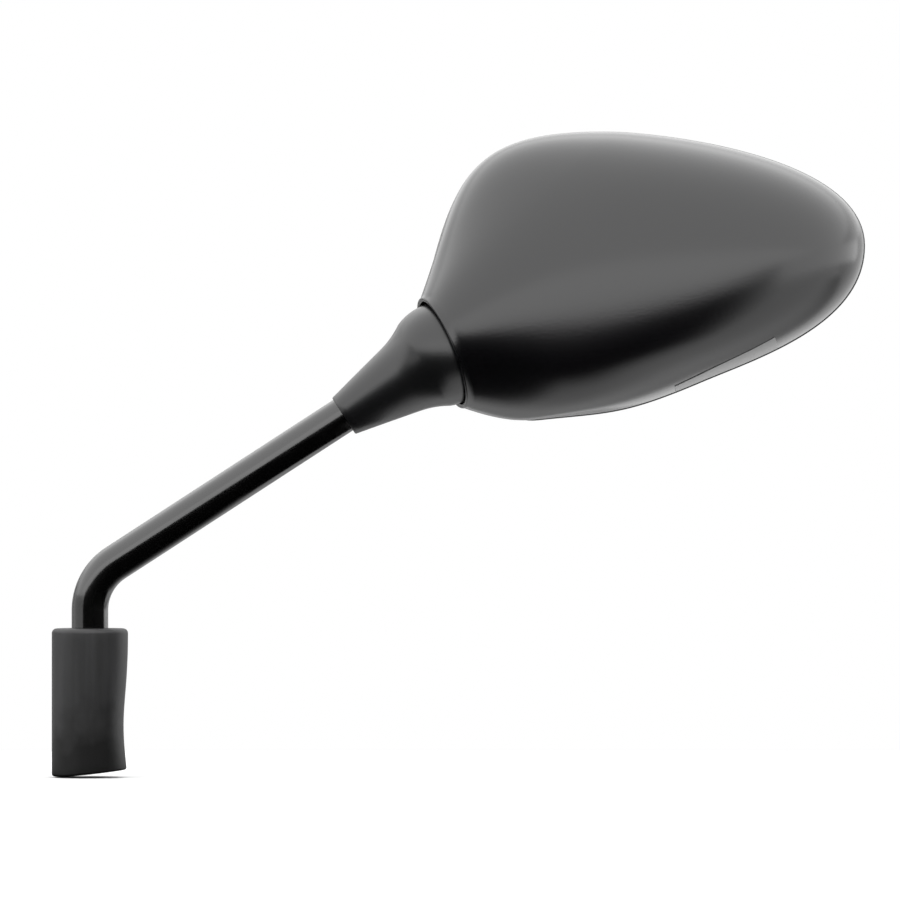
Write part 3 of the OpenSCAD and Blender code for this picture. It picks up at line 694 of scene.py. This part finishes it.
def buildHousing(size):
    mesh = bmesh.new()
    us = roundRim(size["rimSteps"])
    rimY, recessWall, recessEdge, bead = size["rimY"], size["recessWall"], size["recessEdge"], size["bead"]
    lipR, outerLip = size["lipR"], size["lipR"] + size["lipWidth"]
    skinStart, wallEnd = 0.004, 0.985  # shares of a sweep: just off the rim, and just short of the lip

    def inner(u, v):
        along = skinAt(u + nearby, v) - skinAt(u - nearby, v)
        across = skinAt(u, min(1, v + nearby)) - skinAt(u, max(0, v - nearby))
        wall = size["wall"] + (size["lipShare"] * size["lipWidth"] - size["wall"]) * v**4
        return ballCentre + (skinAt(u, v) - along.cross(across).normalized() * wall) * mm

    def sweepAtDepth(u, depth):
        low, high = 0.0, 0.9
        for _ in range(12):
            middle = (low + high) / 2
            low, high = (middle, high) if skinAt(u, middle).y > rimY - depth else (low, middle)
        return low

    # recess, rim edge, skin, bead and the inner wall, as one loop drawn ring by ring
    edges = first = rimLoop(mesh, [rimInset(u, recessWall, rimY - size["recessDepth"]) for u in us])
    for inset, drop in (
        (recessWall, recessEdge),
        (recessWall - recessEdge, 0),
        (size["rimFlat"], 0),
        (size["rimRound"], size["rimRound"]),
    ):
        edges = growRing(mesh, edges, [rimInset(u, inset, rimY - drop) for u in us])
    for k in range(size["sweepSteps"] + 1):
        v = max(skinStart, k / size["sweepSteps"])
        edges = growRing(mesh, edges, [ballCentre + skinAt(u, v) * mm for u in us])
    for r, along in (
        (outerLip - 0.05, -0.45 * bead),
        (outerLip - 0.25, -0.85 * bead),
        (outerLip - 0.6, -bead),
        (lipR + 0.45, -bead),
        (lipR + 0.12, -bead + 0.2),
        (lipR, -bead + 0.6),
        (lipR, 0.6),
    ):
        edges = growRing(mesh, edges, [lipAt(u, r, along) for u in us])
    starts = [sweepAtDepth(u, size["recessDepth"] + size["recessFloor"]) for u in us]
    for k in range(size["wallSteps"] + 1):
        share = k / size["wallSteps"]
        places = [inner(u, wallEnd + (start - wallEnd) * share) for u, start in zip(us, starts)]
        edges = growRing(mesh, edges, places)
    bmesh.ops.bridge_loops(mesh, edges=edges + first)
    addBosses(mesh, bossSize)
    return finishPiece("headHousing", mesh, "head", ["housing"], housingPlastic, 50)


headHousing = buildHousing(headSize)
print("housing made")

# Flank panel: a bare thin strip laid along the lower edge of the head, from one place on the rim to another

panelSize = dict(
    startU=3.88,
    endU=4.375,
    lowInset=0.3,
    startWidth=1.6,
    endWidth=3.6,
    raised=0.08,
    castFrom=-90.0,
    steps=48,
    rows=8,
)


def buildFlankPanel(housing, size):
    mesh = bmesh.new()
    skin = BVHTree.FromPolygons(
        [vert.co for vert in housing.data.vertices], [list(face.vertices) for face in housing.data.polygons]
    )
    startU, startWidth = size["startU"], size["startWidth"]
    bmesh.ops.create_grid(mesh, x_segments=size["steps"], y_segments=size["rows"], size=0.5)
    for vert in mesh.verts:
        share, across = vert.co.x + 0.5, vert.co.y + 0.5
        wide = startWidth + (size["endWidth"] - startWidth) * share
        u = startU + (size["endU"] - startU) * share
        source = rimInset(u, size["lowInset"] + wide * across, size["castFrom"])
        place, normal = skin.ray_cast(source, Vector((0, 1, 0)))[:2]
        vert.co = place + normal.normalized() * size["raised"] * mm
    bmesh.ops.solidify(mesh, geom=mesh.faces[:], thickness=size["raised"] * 2 * mm)
    return finishPiece("flankPanel", mesh, "head", [], panelFilm, 40)


buildFlankPanel(headHousing, panelSize)
print("flank panel made")

# Glass and bezel

glassSize = dict(
    curveR=1200.0,
    thickness=2.0,
    inset=3.6,
    grind=0.3,
    seat=0.1,
    nearR=36.0,
    centre=(65.0, 27.0),
    steps=40,
    rings=14,
)
bezelSize = dict(
    proud=1.4,
    gap=0.05,
    width=4.0,
    start=0.3,
    flangeEnd=0.4,
    face=((1.3, 0.0), (0.5, 0.35), (0.08, 0.8)),  # inset and drop of the face's inner edge
    foot=0.15,
    flange=0.22,
    flangeEdge=0.2,
    edge=0.5,
    lean=(0.14, -0.14),
    skirt=1.2,
    skirtGap=0.1,
    skirtDepth=3.6,
    steps=40,
)


def buildGlass(size):
    mesh = bmesh.new()
    us = roundRim(size["steps"])
    centre = Vector(size["centre"])
    apex = headSize["rimY"] - size["seat"] + size["nearR"] ** 2 / (2 * size["curveR"])
    thickness, inset, grind, rings = size["thickness"], size["inset"], size["grind"], size["rings"]

    def domeAt(u, share, drop, inset):
        point = centre + (rimInward(u, inset) - centre) * share
        sag = (point - centre).length_squared / (2 * size["curveR"])
        return ballCentre + Vector((point.x, apex - drop - sag, point.y)) * mm

    edges = back = rimLoop(mesh, [domeAt(u, 1, thickness, inset + grind) for u in us])
    edges = growRing(mesh, edges, [domeAt(u, 1, thickness - grind, inset) for u in us])
    edges = growRing(mesh, edges, [domeAt(u, 1, grind, inset) for u in us])
    for k in range(rings):
        edges = growRing(mesh, edges, [domeAt(u, 1 - k / rings, 0, inset + grind) for u in us])
    bmesh.ops.holes_fill(mesh, edges=edges)
    for k in range(1, rings):
        back = growRing(mesh, back, [domeAt(u, 1 - k / rings, thickness, inset + grind) for u in us])
    bmesh.ops.holes_fill(mesh, edges=back)
    return finishPiece("convexGlass", mesh, "head", ["glass"], mirrorGlass, 25)


def buildBezel(size):
    mesh = bmesh.new()
    us = roundRim(size["steps"])
    face, under = headSize["rimY"] + size["proud"], headSize["rimY"] + size["gap"]
    skirtOut = headSize["recessWall"] + size["skirtGap"]
    skirtIn, skirtEnd = skirtOut + size["skirt"], under - size["skirtDepth"]
    inner, outer = size["start"] + size["width"], -size["flange"]
    edge, flangeEdge, foot = size["edge"], size["flangeEdge"], size["foot"]
    rings = [(size["flangeEnd"], under), (outer + flangeEdge, under)]
    rings += [(outer, under + flangeEdge), (outer, face - edge)]
    rings += [(outer + edge - x, face - edge + y) for x, y in arcPoints(0, 0, edge, 0, 90, 4)[1:]]
    rings += [(inner - inset, face - drop) for inset, drop in size["face"]]
    rings += [(inner, under + foot), (inner - foot, under)]
    rings += [(skirtIn, under), (skirtIn, skirtEnd), (skirtOut, skirtEnd), (skirtOut, under)]
    edges = first = rimLoop(mesh, [rimInset(u, *rings[0]) for u in us])
    lean = Vector((size["lean"][0], 0, size["lean"][1])) * mm
    for inset, y in rings[1:]:
        # the flange stands a little further out under the tip than over the neck
        shift = lean if inset < 0.1 else Vector()
        edges = growRing(mesh, edges, [rimInset(u, inset, y) + shift for u in us])
    bmesh.ops.bridge_loops(mesh, edges=edges + first)
    return finishPiece("glassBezel", mesh, "head", ["bezel"], bezelPlastic, 40)


buildGlass(glassSize)
buildBezel(bezelSize)
print("glass and bezel made")

# The pieces inside keep their CAD form and get their finish

insideFinish = {
    "nut_washer": zincSteel,
    "lock_nut": blackSteel,
    "ball": turnedSteel,
    "ball_washer": zincSteel,
    "ball_seat": seatAcetal,
    "socket_bracket": bracketNylon,
    "clamp_plate": blackSteel,
    "clamp_screws": zincSteel,
    "clamp_springs": zincSteel,
    "bracket_screws": zincSteel,
    "carrier_plate": carrierPlastic,
    "carrier_screws": zincSteel,
    "foam_pad": padFoam,
}
for node, material in insideFinish.items():
    part = frame["nodes"][node]
    part.data.materials.clear()
    part.data.materials.append(material)
print("inner pieces finished")

# Stage, light and camera

stageSize = dict(
    middle=0.12,
    floorWide=3.0,
    floorFront=2.6,
    floorBack=0.28,
    floorDrop=0.0004,
    clothLift=0.0003,
    cardLeft=-0.34,
    cardRight=0.8,
    cardY=-0.36,
    cardTop=0.12,
    greyLeft=-0.6,
    greyRight=0.2,
    greyY=0.42,
    greyTop=0.2,
    rodCardX=0.105,
    rodCardLow=-0.022,
    rodCardTop=0.06,
    rodCardBack=0.018,
    roomGrey=0.35,
)
# near and side: from where the cloth is black to where it is gone; skew draws the near fade towards the
# camera on the right, and behind brings part of the black back
clothSize = dict(
    near=(-0.01, 0.12),
    skew=(0.09, 0.16),
    skewBy=0.16,
    pivotX=0.2,
    pivotY=0.03,
    side=(0.55, 1.6),
    behind=(0.02, 0.2),
    behindShare=0.4,
)
# name, place, turn, size and radiance of each softbox
softboxes = [
    ("overheadSoftbox", (0.12, -2.25, 0.51), (0, 0, 0), (5.0, 5.6), 1.48),
    ("rearSoftbox", (0.12, 1.55, 0.51), (0, 0, 0), (5.0, 2.0), 0.6),
    ("frontSoftbox", (0.12, -2.8, 0.5), (0, 0, 0), (4.0, 4.2), 0.48),
    ("sideSoftbox", (1.6, 0.15, 0.165), (0, math.pi / 2, 0), (0.37, 2.7), 1.45),
]
cameraSize = dict(lens=400.0, sensor=36.0, acrossMm=295.1, centreX=118.07, centreZ=79.48)


def whiteForLooks(tree, own):
    # white to the camera and in reflections, its own colour to light that lands on it
    path = addNode(tree, "ShaderNodeLightPath").outputs
    seen = path["Is Camera Ray"]
    for ray in ("Is Glossy Ray", "Is Transmission Ray"):
        seen = addNode(tree, "ShaderNodeMath", links={0: seen, 1: path[ray]}, operation="MAXIMUM").outputs[0]
    colours = {"Color1": own, "Color2": (1, 1, 1, 1)}
    return addNode(tree, "ShaderNodeMixRGB", colours, {"Fac": seen}).outputs["Color"]


def setCard(name, low, high, material, onlyReflected=True):
    # a flat card between two corners, lying down or standing up
    mesh = bmesh.new()
    bmesh.ops.create_grid(mesh, x_segments=1, y_segments=1, size=0.5)
    low, high = Vector(low), Vector(high)
    if high.z > low.z:
        axis = "X" if high.y == low.y else "Y"
        bmesh.ops.rotate(mesh, cent=(0, 0, 0), matrix=Matrix.Rotation(math.pi / 2, 3, axis), verts=mesh.verts)
    bmesh.ops.scale(mesh, vec=[max(1e-6, side) for side in high - low], verts=mesh.verts)
    bmesh.ops.translate(mesh, vec=(low + high) / 2, verts=mesh.verts)
    data = bpy.data.meshes.new(name)
    mesh.to_mesh(data)
    mesh.free()
    data.materials.append(material)
    card = bpy.data.objects.new(name, data)
    scene.collection.objects.link(card)
    if onlyReflected:
        card.visible_camera = card.visible_diffuse = card.visible_transmission = card.visible_shadow = False


def gradedBlack(size):
    # black cloth that thins out to its right end and towards the mirror, so the dark band fades below
    material, tree, shader = newFinish("gradedBlackCloth", "#020202", 1.0, **{"Specular IOR Level": 0.0})
    point = addNode(tree, "ShaderNodeTexCoord").outputs["Object"]
    place = addNode(tree, "ShaderNodeSeparateXYZ", links={"Vector": point}).outputs

    def fade(span, low=0.0, high=1.0):  # a map's inputs
        return {"From Min": span[0], "From Max": span[1], "To Min": low, "To Max": high}

    smooth = dict(interpolation_type="SMOOTHSTEP")
    spread = fade(size["skew"], 0, size["skewBy"])
    skew = addNode(tree, "ShaderNodeMapRange", spread, {"Value": place["X"]}, **smooth)
    depth = addNode(tree, "ShaderNodeMath", links={0: place["Y"], 1: skew.outputs["Result"]}, operation="ADD")
    near = addNode(tree, "ShaderNodeMapRange", fade(size["near"]), {"Value": depth.outputs[0]}, **smooth)
    # bearing from a pivot on the cloth: sideways distance over the distance towards the camera
    right = addNode(tree, "ShaderNodeMath", {1: size["pivotX"]}, {0: place["X"]}, operation="SUBTRACT")
    ahead = addNode(tree, "ShaderNodeMath", {0: 0.0}, {1: place["Y"]}, operation="SUBTRACT")
    away = addNode(tree, "ShaderNodeMath", {1: size["pivotY"]}, {0: ahead.outputs[0]}, operation="MAXIMUM")
    bearing = addNode(
        tree, "ShaderNodeMath", links={0: right.outputs[0], 1: away.outputs[0]}, operation="DIVIDE"
    )
    side = addNode(tree, "ShaderNodeMapRange", fade(size["side"]), {"Value": bearing.outputs[0]}, **smooth)
    spread = fade(size["behind"], 1, size["behindShare"])
    behind = addNode(tree, "ShaderNodeMapRange", spread, {"Value": place["Y"]}, **smooth)
    most = addNode(
        tree, "ShaderNodeMath", links={0: near.outputs["Result"], 1: side.outputs["Result"]}, operation="MAXIMUM"
    )
    part = addNode(
        tree, "ShaderNodeMath", links={0: most.outputs[0], 1: behind.outputs["Result"]}, operation="MULTIPLY"
    )
    clear = addNode(tree, "ShaderNodeBsdfTransparent")
    both = addNode(
        tree, "ShaderNodeMixShader", links={0: part.outputs[0], 1: shader.outputs[0], 2: clear.outputs[0]}
    )
    tree.links.new(both.outputs[0], tree.nodes["Material Output"].inputs["Surface"])
    return material


def buildStage(size):
    table, wide, back = cadLow.z - size["floorDrop"], size["floorWide"] / 2, size["floorBack"]
    left, right, cardY, rodX = size["cardLeft"], size["cardRight"], size["cardY"], size["rodCardX"]
    matte = {"Specular IOR Level": 0.0}
    paint = newFinish("paleFloorPaint", "#eaeaea", 0.9, **{"Specular IOR Level": 0.1})[0]
    clothBlack = gradedBlack(clothSize)
    paperBlack = newFinish("blackCardPaper", "#020202", 1.0, **matte)[0]
    paperGrey = newFinish("greyCardPaper", "#a8a8a8", 1.0, **matte)[0]
    floorLow = (size["middle"] - wide, -size["floorFront"], table)
    setCard("paleFloor", floorLow, (size["middle"] + wide, back, table), paint, onlyReflected=False)
    # seen only in reflections: a cloth on the table, a low black card before the mirror, a black one beside
    # the rod and a grey one behind the mirror
    cloth = table + size["clothLift"]
    setCard("blackCloth", (left, cardY, cloth), (right, back, cloth), clothBlack)
    setCard("blackCard", (left, cardY, table), (right, cardY, size["cardTop"]), clothBlack)
    rodHigh = (rodX, size["rodCardBack"], size["rodCardTop"])
    setCard("rodCard", (rodX, cardY, size["rodCardLow"]), rodHigh, paperBlack)
    greyHigh = (size["greyRight"], size["greyY"], size["greyTop"])
    setCard("greyCard", (size["greyLeft"], size["greyY"], table), greyHigh, paperGrey)

    world = bpy.data.worlds.new("softRoom")
    scene.world = world
    world.use_nodes = True
    room = size["roomGrey"]
    colour = whiteForLooks(world.node_tree, (room, room, room, 1))
    world.node_tree.links.new(colour, world.node_tree.nodes["Background"].inputs["Color"])

    for name, place, turn, sides, radiance in softboxes:
        lamp = bpy.data.lights.new(name, "AREA")
        lamp.shape = "RECTANGLE"
        lamp.size, lamp.size_y = sides
        lamp.energy = math.pi * sides[0] * sides[1] * radiance
        box = bpy.data.objects.new(name, lamp)
        box.location, box.rotation_euler = place, turn
        box.visible_camera = False
        scene.collection.objects.link(box)


def buildCamera(size):
    data = bpy.data.cameras.new("camera")
    data.lens, data.sensor_width = size["lens"], size["sensor"]
    camera = bpy.data.objects.new("camera", data)
    distance = size["acrossMm"] * mm * size["lens"] / size["sensor"]
    camera.location = (size["centreX"] * mm, -distance, size["centreZ"] * mm)
    camera.rotation_euler = (math.pi / 2, 0, 0)
    data.clip_start, data.clip_end = 0.05, 100
    scene.collection.objects.link(camera)
    scene.camera = camera


buildStage(stageSize)
buildCamera(cameraSize)
scene.view_settings.view_transform = "Standard"
print("stage and camera made")
